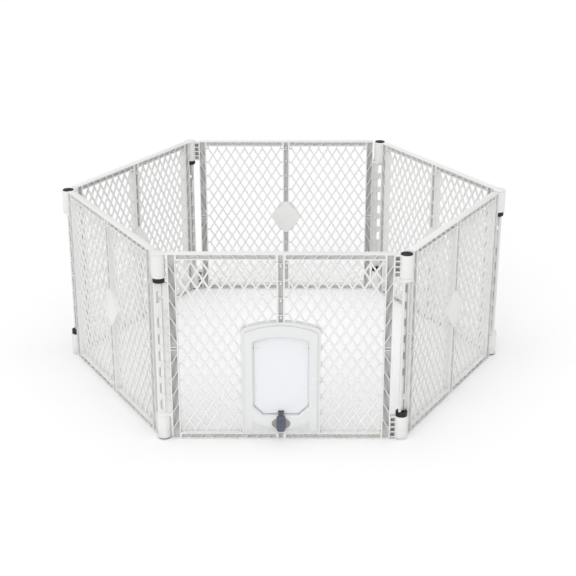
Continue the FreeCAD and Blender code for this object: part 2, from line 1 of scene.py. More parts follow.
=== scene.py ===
"""Looks of the folding pet playpen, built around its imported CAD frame.

Every moulded piece is a merged copy of its CAD node with its sharp edges rounded, because a mould leaves no
sharp edge. Rubber tips, latch knobs and the door flap are surfaces worked out with numpy. Metres, +Z up.
"""
import math
import bmesh
import bpy
import numpy as np
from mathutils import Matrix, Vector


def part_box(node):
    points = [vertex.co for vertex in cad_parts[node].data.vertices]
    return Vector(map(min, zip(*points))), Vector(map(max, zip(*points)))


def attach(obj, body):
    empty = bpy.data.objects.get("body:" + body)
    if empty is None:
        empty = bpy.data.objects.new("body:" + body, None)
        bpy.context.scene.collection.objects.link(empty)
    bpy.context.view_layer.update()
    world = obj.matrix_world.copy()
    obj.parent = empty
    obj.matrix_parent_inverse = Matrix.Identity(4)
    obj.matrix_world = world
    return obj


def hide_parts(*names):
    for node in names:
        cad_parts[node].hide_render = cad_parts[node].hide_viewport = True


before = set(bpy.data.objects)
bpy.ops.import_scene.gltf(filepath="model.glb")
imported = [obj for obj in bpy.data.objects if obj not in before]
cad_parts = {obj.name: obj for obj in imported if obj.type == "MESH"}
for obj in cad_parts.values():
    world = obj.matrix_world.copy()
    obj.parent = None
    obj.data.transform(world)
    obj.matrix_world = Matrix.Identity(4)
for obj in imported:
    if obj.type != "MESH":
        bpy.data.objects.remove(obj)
bpy.context.view_layer.update()

MM = 0.001
PANELS = (
    "front_panel", "right_front_panel", "right_back_panel", "back_panel", "left_back_panel", "left_front_panel",
)
WALL = {panel: panel.replace("_panel", "_wall") for panel in PANELS}

# ---- edge rounding, mm ------------------------------------------------------------------------------
PANEL_ROUND = 0.9
HINGE_ROUND = 0.9
SURROUND_ROUND = 1.6
SMALL_ROUND = 0.4
PIN_ROUND = 0.3
SCREW_ROUND = 0.2
SHARP_ANGLE = math.radians(32)
FLAT_ANGLE = math.radians(0.6)


# ---- node helpers -----------------------------------------------------------------------------------
def new_group(name, inputs, outputs):
    """Empty shader node group with (name, kind, default) inputs and (name, kind) outputs."""
    group = bpy.data.node_groups.new(name, "ShaderNodeTree")
    for label, kind, default in inputs:
        socket = group.interface.new_socket(name=label, in_out="INPUT", socket_type=kind)
        socket.default_value = default
    for label, kind in outputs:
        group.interface.new_socket(name=label, in_out="OUTPUT", socket_type=kind)
    ends = group.nodes.new("NodeGroupInput"), group.nodes.new("NodeGroupOutput")
    return group, ends[0].outputs, ends[1].inputs


def node(tree, kind, settings=(), **values):
    """New node with its properties set and its inputs given a value or linked from a socket."""
    made = tree.nodes.new(kind)
    for key, value in dict(settings).items():
        setattr(made, key, value)
    for label, value in values.items():
        socket = made.inputs[int(label[1:])] if label[0] == "_" else made.inputs[label.replace("_", " ")]
        if isinstance(value, bpy.types.NodeSocket):
            tree.links.new(value, socket)
        else:
            socket.default_value = value
    return made


def noise(tree, scale, detail=2.0, where=None):
    """Noise in the object's own space; where is a vector socket or the plain object coordinates."""
    place = where or node(tree, "ShaderNodeTexCoord").outputs["Object"]
    return node(tree, "ShaderNodeTexNoise", Vector=place, Scale=scale, Detail=detail).outputs["Fac"]


def ramp(tree, value, low, high):
    """Smooth step of a value from 0 at low to 1 at high."""
    settings = {"interpolation_type": "SMOOTHSTEP"}
    return node(tree, "ShaderNodeMapRange", settings, Value=value, From_Min=low, From_Max=high).outputs["Result"]


def math_node(tree, operation, a, b):
    """Result of one sum, difference or product of two values."""
    return node(tree, "ShaderNodeMath", {"operation": operation}, _0=a, _1=b).outputs[0]


def mixed(tree, factor, a, b):
    """Colour that runs from a to b with a factor."""
    return node(tree, "ShaderNodeMix", {"data_type": "RGBA"}, _0=factor, _6=a, _7=b).outputs[2]


# ---- finishes shared by several materials -------------------------------------------------------------
def tone_drift_group():
    """Slow, faint change of colour over a moulding, as pigment and thickness vary."""
    group, given, out = new_group(
        "tone_drift",
        [("Base", "NodeSocketColor", (0.8, 0.8, 0.8, 1)), ("Shade", "NodeSocketColor", (0.7, 0.7, 0.7, 1)),
         ("Cells per Metre", "NodeSocketFloat", 3.0), ("Strength", "NodeSocketFloat", 0.5)],
        [("Color", "NodeSocketColor")],
    )
    slow = noise(group, given["Cells per Metre"], 3.0)
    mask = math_node(group, "MULTIPLY", ramp(group, slow, 0.35, 0.7), given["Strength"])
    group.links.new(mixed(group, mask, given["Base"], given["Shade"]), out["Color"])
    return group


def mould_grain_group():
    """Fine spark-eroded grain of a mould: two sizes of noise added together."""
    group, given, out = new_group(
        "mould_grain",
        [("Cells per Metre", "NodeSocketFloat", 900.0), ("Coarse Share", "NodeSocketFloat", 0.35)],
        [("Height", "NodeSocketFloat"), ("Speckle", "NodeSocketFloat")],
    )
    fine = noise(group, given["Cells per Metre"], 2.0)
    coarse = noise(group, math_node(group, "MULTIPLY", given["Cells per Metre"], 0.18), 2.0)
    height = math_node(group, "ADD", fine, math_node(group, "MULTIPLY", coarse, given["Coarse Share"]))
    group.links.new(height, out["Height"])
    group.links.new(ramp(group, fine, 0.35, 0.65), out["Speckle"])
    return group


def handling_scuff_group():
    """Patches of fine scratches where a moulding is handled and dragged; 1 where it is scuffed."""
    group, given, out = new_group(
        "handling_scuffs",
        [("Patches per Metre", "NodeSocketFloat", 5.0), ("Coverage", "NodeSocketFloat", 0.4)],
        [("Mask", "NodeSocketFloat")],
    )
    place = node(group, "ShaderNodeTexCoord").outputs["Object"]
    stretched = node(group, "ShaderNodeMapping", Vector=place, Scale=(60.0, 60.0, 420.0)).outputs["Vector"]
    scratches = ramp(group, noise(group, 1.0, 4.0, stretched), 0.5, 0.7)
    edge = math_node(group, "SUBTRACT", 0.75, math_node(group, "MULTIPLY", given["Coverage"], 0.5))
    patches = ramp(group, noise(group, given["Patches per Metre"], 2.0), edge, 0.8)
    group.links.new(math_node(group, "MULTIPLY", scratches, patches), out["Mask"])
    return group


def floor_dust_group():
    """Dust and splashes that thin out with height above the floor."""
    group, given, out = new_group(
        "floor_dust",
        [("Reach", "NodeSocketFloat", 0.08), ("Strength", "NodeSocketFloat", 0.4)],
        [("Mask", "NodeSocketFloat")],
    )
    place = node(group, "ShaderNodeTexCoord").outputs["Object"]
    height = node(group, "ShaderNodeSeparateXYZ", Vector=place).outputs["Z"]
    near = math_node(group, "SUBTRACT", 1.0, ramp(group, height, 0.0, given["Reach"]))
    spots = ramp(group, noise(group, 40.0, 4.0), 0.3, 0.75)
    mask = math_node(group, "MULTIPLY", math_node(group, "MULTIPLY", near, spots), given["Strength"])
    group.links.new(mask, out["Mask"])
    return group


TONE = tone_drift_group()
GRAIN = mould_grain_group()
SCUFFS = handling_scuff_group()
DUST = floor_dust_group()


def use(tree, group, **values):
    """Put a shared finish into a material with its own values."""
    made = tree.nodes.new("ShaderNodeGroup")
    made.node_tree = group
    for label, value in values.items():
        made.inputs[label.replace("_", " ")].default_value = value
    return made.outputs


def new_material(name, **sockets):
    """Material with one Principled BSDF; constant values go on the shader's own sockets."""
    material = bpy.data.materials.new(name)
    material.use_nodes = True
    tree = material.node_tree
    shader = tree.nodes["Principled BSDF"]
    for label, value in sockets.items():
        shader.inputs[label.replace("_", " ")].default_value = value
    return material, tree, shader.inputs


def bump(tree, height, strength, depth, sockets):
    """Fine relief from a height, as deep as depth in metres."""
    made = node(tree, "ShaderNodeBump", Height=height, Strength=strength, Distance=depth)
    tree.links.new(made.outputs["Normal"], sockets["Normal"])


def between(tree, mask, low, high):
    """Value that runs from low to high with a mask."""
    return node(tree, "ShaderNodeMapRange", Value=mask, To_Min=low, To_Max=high).outputs["Result"]


# ---- materials --------------------------------------------------------------------------------------
def moulded_grey(name, base, shade, roughness, deep):
    """Light grey injection-moulded polypropylene, with grain, faint drift, scuffs and dust near the floor.

    The piece's own attribute mixes in the deep colour: painted shade on the floors of its channels and the walls
    of its windows, and on the surround also the raised oval's own darker grey."""
    material, tree, sockets = new_material(name, Specular_IOR_Level=0.4, Subsurface_Weight=0.04)
    sockets["Subsurface Radius"].default_value = (0.004, 0.004, 0.004)
    tone = use(tree, TONE, Base=base, Shade=shade, Cells_per_Metre=2.6, Strength=0.55)["Color"]
    grain = use(tree, GRAIN, Cells_per_Metre=1100.0, Coarse_Share=0.5)
    scuffs = use(tree, SCUFFS, Patches_per_Metre=4.0, Coverage=0.5)["Mask"]
    dust = use(tree, DUST, Reach=0.07, Strength=0.35)["Mask"]
    lighter = tuple(min(1.0, channel * 1.09) for channel in base[:3]) + (1,)
    dusty = (0.52, 0.49, 0.44, 1)
    scuffed = mixed(tree, scuffs, tone, lighter)
    # Painted shade from the piece's attribute, in its channels and windows; on the surround also the oval's own
    # darker grey.
    painted_shade_and_oval_grey = node(tree, "ShaderNodeAttribute", {"attribute_name": "painted_shade_and_oval_grey"}).outputs["Fac"]
    with_shade_and_oval_grey = mixed(tree, painted_shade_and_oval_grey, scuffed, deep)
    tree.links.new(mixed(tree, dust, with_shade_and_oval_grey, dusty), sockets["Base Color"])
    worn = math_node(tree, "MULTIPLY", grain["Speckle"], 0.4)
    tree.links.new(between(tree, worn, roughness, roughness + 0.16), sockets["Roughness"])
    bump(tree, grain["Height"], 0.35, 0.0002, sockets)
    return material


def translucent_vinyl():
    """Milky flexible sheet of the flap: slightly see-through, with a faint ripple and a cool tint."""
    material, tree, sockets = new_material(
        "flap_vinyl", Transmission_Weight=0.12, IOR=1.45, Subsurface_Weight=0.15, Specular_IOR_Level=0.4)
    sockets["Subsurface Radius"].default_value = (0.006, 0.006, 0.007)
    base, shade = (0.955, 0.96, 1.0, 1), (0.93, 0.94, 0.985, 1)
    tone = use(tree, TONE, Base=base, Shade=shade, Cells_per_Metre=9.0, Strength=0.5)["Color"]
    scuffs = use(tree, SCUFFS, Patches_per_Metre=9.0, Coverage=0.6)["Mask"]
    tree.links.new(tone, sockets["Base Color"])
    tree.links.new(between(tree, scuffs, 0.3, 0.4), sockets["Roughness"])
    bump(tree, noise(tree, 26.0, 1.0), 0.1, 0.0006, sockets)
    return material


def black_rubber():
    """Matte black rubber with a fine grain, greyed by dust at the floor."""
    material, tree, sockets = new_material("black_rubber", Specular_IOR_Level=0.35)
    base, shade = (0.016, 0.013, 0.015, 1), (0.03, 0.027, 0.029, 1)
    tone = use(tree, TONE, Base=base, Shade=shade, Cells_per_Metre=60.0, Strength=0.8)["Color"]
    grain = use(tree, GRAIN, Cells_per_Metre=1600.0, Coarse_Share=0.7)
    dust = use(tree, DUST, Reach=0.02, Strength=0.5)["Mask"]
    tree.links.new(mixed(tree, dust, tone, (0.2, 0.18, 0.165, 1)), sockets["Base Color"])
    tree.links.new(between(tree, grain["Speckle"], 0.5, 0.72), sockets["Roughness"])
    bump(tree, grain["Height"], 0.5, 0.0002, sockets)
    return material


def slate_plastic():
    """Blue-grey moulded plastic of the latch, polished where thumbs slide it."""
    material, tree, sockets = new_material("slate_plastic", Specular_IOR_Level=0.5)
    base, shade = (0.112, 0.122, 0.165, 1), (0.085, 0.093, 0.13, 1)
    tone = use(tree, TONE, Base=base, Shade=shade, Cells_per_Metre=45.0, Strength=0.7)["Color"]
    grain = use(tree, GRAIN, Cells_per_Metre=1500.0, Coarse_Share=0.5)
    scuffs = use(tree, SCUFFS, Patches_per_Metre=30.0, Coverage=0.7)["Mask"]
    tree.links.new(mixed(tree, scuffs, tone, (0.2, 0.21, 0.26, 1)), sockets["Base Color"])
    tree.links.new(between(tree, grain["Speckle"], 0.34, 0.5), sockets["Roughness"])
    bump(tree, grain["Height"], 0.4, 0.0002, sockets)
    return material


def plated_steel():
    """Zinc-plated steel of the screws and pivot pins."""
    material, tree, sockets = new_material("plated_steel", Metallic=1.0)
    base, shade = (0.62, 0.62, 0.6, 1), (0.5, 0.5, 0.5, 1)
    tone = use(tree, TONE, Base=base, Shade=shade, Cells_per_Metre=300.0, Strength=0.8)["Color"]
    grain = use(tree, GRAIN, Cells_per_Metre=2400.0, Coarse_Share=0.4)
    tree.links.new(tone, sockets["Base Color"])
    tree.links.new(between(tree, grain["Speckle"], 0.26, 0.45), sockets["Roughness"])
    bump(tree, grain["Height"], 0.3, 0.0001, sockets)
    return material


# deep: painted shade in the panels' channels and the hinge ends' windows
pen_grey = moulded_grey(
    "pen_grey", base=(0.84, 0.84, 0.83, 1), shade=(0.79, 0.79, 0.785, 1), roughness=0.42,
    deep=(0.40, 0.40, 0.39, 1))
# deep: the raised oval's own darker grey, and painted shade on the surround's stepped edges and sunk panel
surround_grey = moulded_grey(
    "surround_grey", base=(0.80, 0.805, 0.805, 1), shade=(0.76, 0.765, 0.77, 1), roughness=0.34,
    deep=(0.3, 0.3, 0.3, 1))
vinyl = translucent_vinyl()
rubber = black_rubber()
slate = slate_plastic()
steel = plated_steel()


# ---- mesh helpers -----------------------------------------------------------------------------------
def add_piece(name, mesh, material, slot, body, *nodes):
    """Put a finished mesh into the scene, on its body and in place of its CAD nodes."""
    mesh.materials.clear()
    mesh.materials.append(material)
    piece = bpy.data.objects.new(name, mesh)
    bpy.context.scene.collection.objects.link(piece)
    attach(piece, body)
    if nodes:
        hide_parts(*nodes)
    return piece


def softened(name, node_name, rounding, material, slot, body, painted_shade_and_oval_grey=None):
    """Merged copy of a CAD moulding whose sharp edges are rounded by a bevel of two segments.

    The optional mask function works out, 0 to 1 from the face corners, how much of the deep colour each corner
    takes: painted shade, and on the surround also the oval's own darker grey."""
    bm = bmesh.new()
    bm.from_mesh(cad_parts[node_name].data)
    bmesh.ops.remove_doubles(bm, verts=bm.verts, dist=2e-6)
    bmesh.ops.dissolve_limit(bm, angle_limit=FLAT_ANGLE, verts=bm.verts, edges=bm.edges)
    for face in bm.faces:
        face.smooth = True
    mesh = bpy.data.meshes.new(name)
    bm.to_mesh(mesh)
    bm.free()
    if painted_shade_and_oval_grey:
        values = painted_shade_and_oval_grey(*face_corners(mesh)).astype(np.float32)
        mesh.attributes.new("painted_shade_and_oval_grey", "FLOAT", "CORNER").data.foreach_set("value", values)
    piece = add_piece(name, mesh, material, slot, body, node_name)
    bevel = piece.modifiers.new("rounded_edges", "BEVEL")
    bevel.width = rounding * MM
    bevel.segments = 2
    bevel.limit_method = "ANGLE"
    bevel.angle_limit = SHARP_ANGLE
    bevel.use_clamp_overlap = True
    bevel.harden_normals = True
    return piece


def grid_mesh(name, points, closed):
    """Quads over an array of points (rows, columns, 3), whose last column meets the first if closed."""
    rows, columns, _ = points.shape
    index = np.arange(rows * columns).reshape(rows, columns)
    right = np.roll(index, -1, axis=1)
    below = np.roll(index, -1, axis=0)
    corner = np.roll(below, -1, axis=1)
    last_column = columns if closed else columns - 1
    quads = np.stack([index, right, corner, below], axis=-1)[:rows - 1, :last_column].reshape(-1, 4)
    mesh = bpy.data.meshes.new(name)
    mesh.from_pydata(points.reshape(-1, 3), [], quads)
    bm = bmesh.new()
    bm.from_mesh(mesh)
    bmesh.ops.remove_doubles(bm, verts=bm.verts, dist=1e-6)
    bmesh.ops.recalc_face_normals(bm, faces=bm.faces)
    for face in bm.faces:
        face.smooth = True
    bm.to_mesh(mesh)
    bm.free()
    return mesh


def face_corners(mesh):
    """Place of each face corner, the normal of its face, and the cosine of the angle it makes."""
    vertex = np.empty(len(mesh.loops), dtype=np.int32)
    mesh.loops.foreach_get("vertex_index", vertex)
    places = np.empty(len(mesh.vertices) * 3)
    mesh.vertices.foreach_get("co", places)
    corners = np.empty(len(mesh.polygons), dtype=np.int32)
    mesh.polygons.foreach_get("loop_total", corners)
    normals = np.empty(len(mesh.polygons) * 3)
    mesh.polygons.foreach_get("normal", normals)
    places = places.reshape(-1, 3)[vertex]
    count = np.repeat(corners, corners)
    first = np.repeat(np.cumsum(corners) - corners, corners)
    turn = np.arange(len(vertex)) - first
    back = places[first + (turn - 1) % count] - places
    ahead = places[first + (turn + 1) % count] - places
    lengths = np.linalg.norm(back, axis=1) * np.linalg.norm(ahead, axis=1)
    cosine = (back * ahead).sum(axis=1) / np.maximum(lengths, 1e-12)
    return places, np.repeat(normals.reshape(-1, 3), corners, axis=0), cosine


def in_panel_axes(vectors, panel):
    """Vectors turned into a panel's own axes: along the panel, across it and up."""
    turn = 2 * math.pi / len(PANELS) * PANELS.index(panel)
    along = vectors[:, 0] * math.cos(turn) + vectors[:, 1] * math.sin(turn)
    across = vectors[:, 1] * math.cos(turn) - vectors[:, 0] * math.sin(turn)
    return np.stack([along, across, vectors[:, 2]], axis=1)


# ---- painted shade in recesses, and the surround's darker oval, mm ------------------------------------
STILE_BAND = (2, 26)           # from a panel's end: where its stile's channel lies
RAIL_BAND = (2, 19)            # from its top or bottom: where its rail's channel lies
MIDDLE_HALF = 9                # half of the centre stile's channel
CHANNEL_FLOOR = 3.5            # the channels' floors lie no farther than this from the panel's middle plane
SHARP_COSINE = 0.25            # a floor corner with a greater cosine is a sharp one, beside a slanting rib
HINGE_WALL_HALF = 10.5         # half depth of the hinge ends' windows and slots
LEDGE_BAND = (70, 92)          # from the top or bottom of a hinge end: the stretch about its ledge
OVAL_PROUD = 17.3              # the oval round the latch stands farther than this from the flap's plane
STEP_PROUD = (11.5, 17.1)      # the surround's stepped edges
SUNK_PROUD = (14.5, 15.5)      # the shallow sunk panel in its sill


def inside(value, band):
    """Where a value lies between the two ends of a band."""
    return (value > band[0]) & (value < band[1])


def channel_painted_shade(panel):
    """Painted shade inside the channels of a panel's stiles and rails, by how far a corner lies below the panel's
    faces.

    The sharp corners of a channel's floor, beside its slanting ribs, take the most, as painted shadows of the
    ribs."""
    def painted_shade_and_oval_grey(places, normals, cosine):
        own = in_panel_axes(places, panel) / MM
        own = np.abs(own - (own.min(axis=0) + own.max(axis=0)) / 2)
        reach = own.max(axis=0)
        in_stile = inside(reach[0] - own[:, 0], STILE_BAND)
        in_rail = inside(reach[2] - own[:, 2], RAIL_BAND)
        on_floor = np.abs(in_panel_axes(normals, panel)[:, 1]) > 0.9
        # painted shadows of the ribs: darkest in the sharp corners of a channel's floor
        sharp = np.where(on_floor & (cosine > SHARP_COSINE), 1.0, 0.45)
        elsewhere = np.where(own[:, 0] < MIDDLE_HALF, 0.5, 0.0)
        share = np.where(in_stile, sharp, np.where(in_rail, 0.4 * sharp, elsewhere))
        return share * np.clip((reach[1] - own[:, 1]) / (reach[1] - CHANNEL_FLOOR), 0, 1)
    return painted_shade_and_oval_grey


def cutout_painted_shade(panel):
    """Painted shade on the walls of a hinge end's windows and slots: flat faces that look along the panel, up or
    down.

    The end plates and the stretch about the ledge are left out. Of a round pin or sleeve, no more counts than the
    narrow strips that look straight along the panel."""
    def painted_shade_and_oval_grey(places, normals, cosine):
        own = in_panel_axes(places, panel) / MM
        facing = np.abs(in_panel_axes(normals, panel))
        height = np.abs(own[:, 2] - (own[:, 2].min() + own[:, 2].max()) / 2)
        from_end = height.max() - height
        deep = (np.abs(own[:, 1] - np.median(own[:, 1])) < HINGE_WALL_HALF) & (facing[:, 1] < 0.5)
        flat = (facing[:, 0] > 0.995) | (facing[:, 2] > 0.995)
        ends = (from_end < 2) | inside(from_end, LEDGE_BAND)
        return np.where(deep & flat & ~ends, 1.0, 0.0)
    return painted_shade_and_oval_grey


def surround_shade_and_oval_grey(places, normals, cosine):
    """1 on the raised oval round the latch, which is a darker grey plastic; 0.4 as painted shade on the side walls
    of the frame's stepped edges, and a trace of painted shade on its sunk sill panel."""
    low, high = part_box("door_flap")
    proud = np.abs(places[:, 1] - (low.y + high.y) / 2) / MM
    # painted shade on the side walls of the steps and in the sunk panel; the oval keeps its own darker grey
    step = (np.abs(normals[:, 1]) < 0.3) & inside(proud, STEP_PROUD)
    sunk = inside(proud, SUNK_PROUD) & ~step
    return np.where(proud > OVAL_PROUD, 1.0, np.where(step, 0.4, np.where(sunk, 0.08, 0.0)))


# ---- rubber tips, mm ----------------------------------------------------------------------------------
TIP_RADIUS = 19.6
TIP_ROUND = 1.6
TIP_FOOT = 0.5                 # how far the pad narrows at its foot
PLUG_RADIUS = 15.9
PLUG_DEPTH = 8.0
PLUG_EDGE = 1.0
END_PAD = 3.9
INNER_PAD = 16.9
DOME_DROP = 0.9                # how far the face falls from its middle to its rim
CLEFT_DEPTH = 2.6
CLEFT_HALF = 2.1
CLEFT_ACROSS = (0.94, 0.34)    # direction across the cleft
PAD_SHARE = 0.6


def tip_surface(name, centre, face, pad, facing_up):
    """Rubber tip: a profile of (radius, depth below the face) turned about the pin's axis.

    The face falls by c(r/R)^2 from its middle, and by d exp(-(u/w)^4) in a cleft, where u is the distance from the
    cleft's middle line. The two together take no more than PAD_SHARE of the pad."""
    flat_radius = TIP_RADIUS - TIP_ROUND
    rounding = np.linspace(0, np.pi / 2, 6)
    face_rings = [(r, 0.0) for r in np.linspace(0.0, flat_radius, 14)[:-1]]
    rim = [(flat_radius + TIP_ROUND * np.sin(a), TIP_ROUND - TIP_ROUND * np.cos(a)) for a in rounding]
    wall = [(TIP_RADIUS, pad * 0.45), (TIP_RADIUS, pad * 0.85), (TIP_RADIUS - TIP_FOOT, pad)]
    plug_end = pad + PLUG_DEPTH + PLUG_EDGE
    plug = [(PLUG_RADIUS, pad), (PLUG_RADIUS, pad + PLUG_DEPTH)]
    plug += [(PLUG_RADIUS - PLUG_EDGE, plug_end), (0.0, plug_end)]
    profile = np.array(face_rings + rim + wall + plug)
    angle = np.linspace(0, 2 * np.pi, 72, endpoint=False)
    radius, depth = profile[:, :1], profile[:, 1:]
    x, y = radius * np.cos(angle), radius * np.sin(angle)
    near_face = np.clip(1 - depth / TIP_ROUND, 0, 1)
    dome = DOME_DROP * (radius / TIP_RADIUS) ** 2
    cleft = CLEFT_DEPTH * np.exp(-((CLEFT_ACROSS[0] * x + CLEFT_ACROSS[1] * y) / CLEFT_HALF) ** 4)
    depth = depth + near_face * np.minimum(dome + cleft, pad * PAD_SHARE)
    z = face / MM - depth if facing_up else face / MM + depth
    points = np.stack([x + centre[0] / MM, y + centre[1] / MM, z], axis=-1) * MM
    return grid_mesh(name, points, True)


def rubber_tips():
    """Two tips for each panel: they face up on the turned-over panels and down on the others."""
    for number, panel in enumerate(PANELS):
        facing_up = number % 2 == 1
        for place in ("_upper_tip", "_lower_tip"):
            low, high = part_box(panel + place)
            outermost = (place == "_upper_tip") == facing_up
            centre = (low + high) / 2
            pad = END_PAD if outermost else INNER_PAD
            name = panel + place + "_rubber"
            mesh = tip_surface(name, centre, (high if facing_up else low).z, pad, facing_up)
            add_piece(name, mesh, rubber, "rubber_tip", WALL[panel], panel + place)


# ---- door flap, mm ------------------------------------------------------------------------------------
FLAP_CUT = 32.0                # cut lower corners
FLAP_RISE = 15.5               # of the arch
FLAP_SHOULDER = 7.0            # rounding between the arch and a side
NOTCH_HALF = 11.0
NOTCH_CORNER = 1.2
NOTCH_ABOVE_TONGUE = 2.0
FLAP_EDGE = (                  # (distance in from the edge, half thickness): lip, rim and soft step
    (0.0, 0.7), (0.25, 1.7), (0.8, 2.6), (1.8, 3.1), (5.0, 3.15), (6.5, 2.9), (8.5, 2.3), (11.0, 2.15),
)
FLAP_CROWN = 0.35              # how much half the thickness grows towards the middle
KNUCKLE_INSET = 1.0
KNUCKLE_PROFILE = (            # (radius, distance in from the flap's side)
    (0.0, 0.0), (2.6, 0.0), (3.9, 0.5), (4.4, 1.6), (4.4, 14.0), (3.4, 16.6), (1.6, 17.8), (0.0, 18.0),
)


def flap_outline(low, high, notch_top):
    """Closed outline of the flap as (x, z) in mm from its middle, sampled evenly along each of its sides.

    Straight sides, cut lower corners, a notch in the lower edge and an arch that falls by c(x/h)^2 on top."""
    half, top = (high.x - low.x) / 2 / MM, (high.z - low.z) / 2 / MM
    drop = -top
    spring = top - FLAP_RISE
    corners = [
        (NOTCH_HALF, drop), (half - FLAP_CUT, drop), (half, drop + FLAP_CUT), (half, spring - FLAP_SHOULDER),
        (half - FLAP_SHOULDER * 0.3, spring - FLAP_SHOULDER * 0.3), (half - FLAP_SHOULDER, spring + 1.0),
    ]
    arch = [(x, top - FLAP_RISE * (x / half) ** 2) for x in np.linspace(half - 2 * FLAP_SHOULDER, 0, 9)]
    right = corners + arch
    left = [(-x, z) for x, z in right[-2::-1]]
    notch = [(-NOTCH_HALF + NOTCH_CORNER, notch_top), (NOTCH_HALF - NOTCH_CORNER, notch_top)]
    ring = np.array(right + left + notch)
    following = np.roll(ring, -1, axis=0)
    share = np.linspace(0, 1, 6, endpoint=False)[None, :, None]
    return (ring[:, None] * (1 - share) + following[:, None] * share).reshape(-1, 2)


def flap_surface():
    """Flap: rings set in from its outline by a fixed distance and then shrunk towards its middle.

    Half the thickness follows FLAP_EDGE, and then t + c(1 - s^2) where a ring is shrunk to a share s."""
    low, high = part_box("door_flap")
    tongue_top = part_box("latch_knob_outer")[1].z
    notch_top = (tongue_top - (low.z + high.z) / 2) / MM + NOTCH_ABOVE_TONGUE
    outline = flap_outline(low, high, notch_top)
    reach = np.linalg.norm(outline, axis=1, keepdims=True)
    rings = [(outline * (1 - inset / reach), half) for inset, half in FLAP_EDGE]
    inner, sheet_half = rings[-1]
    shares = (0.9, 0.75, 0.55, 0.3, 0.0)
    rings += [(inner * share, sheet_half + FLAP_CROWN * (1 - share ** 2)) for share in shares]
    front = [np.column_stack([ring[:, 0], np.full(len(ring), -half), ring[:, 1]]) for ring, half in rings]
    back = [ring * (1, -1, 1) for ring in front]
    points = np.array(front[::-1] + back) * MM + np.array((low + high) / 2)
    return grid_mesh("door_flap_sheet", points, True)


def pivot_knuckles():
    """Two short round bosses on the flap's pivots: KNUCKLE_PROFILE turned about the pivots' line."""
    low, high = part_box("flap_pivot_pins")
    middle = np.array((low + high) / 2) / MM
    radius, inward = np.array(KNUCKLE_PROFILE)[:, :1], np.array(KNUCKLE_PROFILE)[:, 1:]
    angle = np.linspace(0, 2 * np.pi, 40, endpoint=False)
    flap_low, flap_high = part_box("door_flap")
    flap_half = (flap_high.x - flap_low.x) / 2 / MM
    shells = []
    for side in (-1, 1):
        x = middle[0] + side * (flap_half - KNUCKLE_INSET - inward) * np.ones((1, len(angle)))
        y = middle[1] + radius * np.cos(angle)
        z = middle[2] + radius * np.sin(angle)
        shells.append(np.stack([x, y, z], axis=-1) * MM)
    return joined("flap_pivot_knuckles", shells)


def joined(name, shells):
    """One mesh from several closed grids."""
    bm = bmesh.new()
    for shell in shells:
        part = grid_mesh(name + "_shell", shell, True)
        bm.from_mesh(part)
        bpy.data.meshes.remove(part)
    mesh = bpy.data.meshes.new(name)
    bm.to_mesh(mesh)
    bm.free()
    return mesh


# ---- latch, mm ----------------------------------------------------------------------------------------
GRIP_ROWS = (                  # (height above the foot, half width, depth)
    (0.0, 8.5, 7.0), (1.0, 11.0, 9.5), (3.0, 13.4, 11.4), (6.0, 14.6, 12.0), (50.0, 14.6, 12.0),
    (53.0, 14.0, 12.0), (55.6, 12.6, 11.9), (56.3, 12.0, 11.5), (56.6, 11.4, 11.0), (56.7, 9.2, 4.2),
    (56.9, 8.8, 3.8), (64.6, 8.8, 3.8),
)
GRIP_BACK = 19.9               # from the flap's plane
GRIP_FLANK = ((-1, 0), (-1, 0.3), (-0.97, 0.4), (-0.74, 0.93), (-0.68, 0.98))
FACE_HALF = 0.62               # half of the face, as a share of the half width
RIDGE_DEPTH = 0.5
RIDGE_PITCH = 0.31             # as a share of the half width
RIDGE_ENDS = (8, 48)
RIDGE_FADE = 3
TONGUE_HALF = 8.9
TONGUE_MIDDLE = 14.3           # from the flap's plane
TONGUE_REACH = 9.9             # half of its depth
TONGUE_ROWS = ((89.6, 0.9), (90.0, 0.97), (91.0, 1.0), (96.6, 1.0), (97.6, 0.96), (98.0, 0.88))


def grip_rows():
    """Rows of the grip as (height, half width, depth, strength of the ridges on its face), about 1 mm apart."""
    rows = []
    for row, following in zip(np.array(GRIP_ROWS), np.array(GRIP_ROWS)[1:]):
        steps = max(1, round(following[0] - row[0]))
        rows += [row + share * (following - row) for share in np.linspace(0, 1, steps, endpoint=False)]
    rows = np.array(rows + [np.array(GRIP_ROWS[-1])])
    rising = np.clip((rows[:, 0] - RIDGE_ENDS[0]) / RIDGE_FADE, 0, 1)
    falling = np.clip((RIDGE_ENDS[1] - rows[:, 0]) / RIDGE_FADE, 0, 1)
    return np.column_stack([rows, rising * falling])


def eased_square(wave):
    """A sine or cosine flattened to its fourth root, which turns a circle into a square with eased corners."""
    return np.sign(wave) * np.abs(wave) ** 0.25


